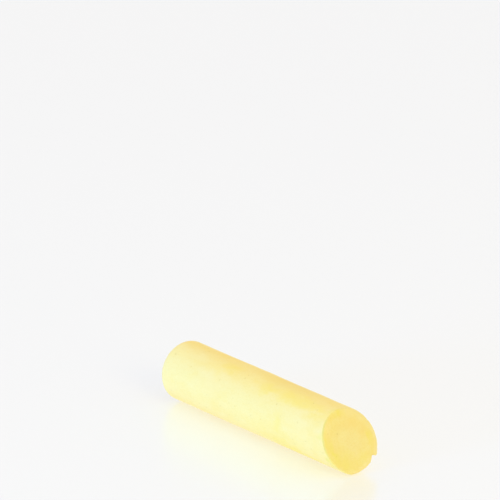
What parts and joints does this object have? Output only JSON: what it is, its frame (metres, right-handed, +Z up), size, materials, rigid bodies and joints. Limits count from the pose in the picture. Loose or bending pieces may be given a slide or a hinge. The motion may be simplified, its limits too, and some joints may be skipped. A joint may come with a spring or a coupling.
{
  "type": "chalk stick",
  "caption": "Thick round stick of pale yellow blackboard chalk, slightly drafted, with a square end it stands on and a slanted end with a worn, chipped rim.",
  "frame": {"origin": "centre of the flat of the square end, which the stick stands on", "axes": "+Z runs up the stick's axis to the slanted end, and the slanted face leans towards the front, -Y"},
  "size_m": [0.0158, 0.0158, 0.0738],
  "materials": {
    "chalk": "matte, fine-grained cast chalk, pale ivory yellow"
  },
  "bodies": {
    "root": {"chalk_stick": "chalk"}
  },
  "joints": []
}
